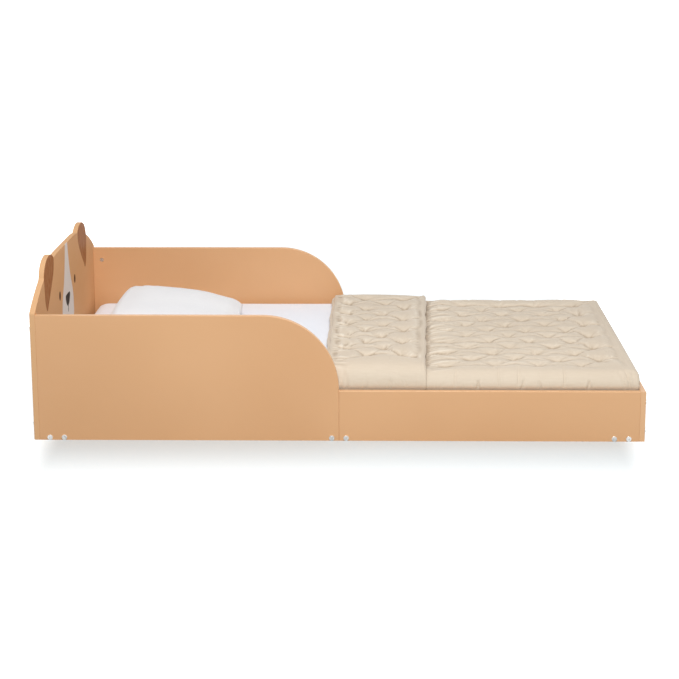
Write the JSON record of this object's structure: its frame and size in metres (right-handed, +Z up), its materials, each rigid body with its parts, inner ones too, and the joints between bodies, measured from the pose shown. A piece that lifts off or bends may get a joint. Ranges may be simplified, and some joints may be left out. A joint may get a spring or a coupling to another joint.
{
  "type": "toddler floor bed",
  "caption": "Low toddler floor bed with an eared headboard, high head-end sides that sweep down to low rails, and a mattress, sheet, pillow and turned-back quilt.",
  "frame": {"origin": "on the floor, under the middle of the bed", "axes": "+X runs from the headboard to the footboard, +Z is up, and the near side faces -Y"},
  "size_m": [1.3644, 0.7394, 0.384],
  "materials": {
    "lacquered_board": "satin",
    "bare_pine": "matte",
    "beech_dowel": "matte",
    "zinc_plated_steel": "satin",
    "screw_steel": "satin",
    "mattress_ticking": "matte",
    "white_sheet": "matte",
    "white_pillow": "matte",
    "beige_quilt": "matte"
  },
  "bodies": {
    "bed_frame": {"headboard": "lacquered_board", "footboard": "lacquered_board", "near_side_panel": "lacquered_board", "far_side_panel": "lacquered_board", "near_low_rail": "lacquered_board", "far_low_rail": "lacquered_board", "head_cross_rail": "bare_pine", "middle_cross_rail": "bare_pine", "foot_cross_rail": "bare_pine", "near_head_ledge": "bare_pine", "far_head_ledge": "bare_pine", "near_foot_ledge": "bare_pine", "far_foot_ledge": "bare_pine", "slat_01": "bare_pine", "slat_02": "bare_pine", "slat_03": "bare_pine", "slat_04": "bare_pine", "slat_05": "bare_pine", "slat_06": "bare_pine", "slat_07": "bare_pine", "slat_08": "bare_pine", "slat_09": "bare_pine", "slat_10": "bare_pine", "slat_11": "bare_pine", "slat_12": "bare_pine", "slat_13": "bare_pine", "near_joint_plate": "screw_steel", "far_joint_plate": "screw_steel", "headboard_bolts": "zinc_plated_steel", "footboard_bolts": "zinc_plated_steel", "cross_rail_bolts": "zinc_plated_steel", "panel_barrel_nuts": "zinc_plated_steel", "cross_rail_barrel_nuts": "zinc_plated_steel", "locating_dowels": "beech_dowel", "joint_plate_screws": "screw_steel", "ledge_screws": "screw_steel", "slat_screws": "screw_steel"},
    "mattress": {"mattress_core": "mattress_ticking", "fitted_sheet": "white_sheet"},
    "quilt": {"quilt": "beige_quilt"},
    "pillow": {"pillow": "white_pillow"}
  },
  "joints": [
    {"name": "mattress_lift", "type": "slide", "parent": "bed_frame", "child": "mattress", "axis": [0, 0, 1], "range_m": [0, 0.4]},
    {"name": "quilt_lift", "type": "slide", "parent": "mattress", "child": "quilt", "axis": [0, 0, 1], "range_m": [0, 0.15]},
    {"name": "pillow_lift", "type": "slide", "parent": "mattress", "child": "pillow", "axis": [0, 0, 1], "range_m": [0, 0.15]}
  ]
}
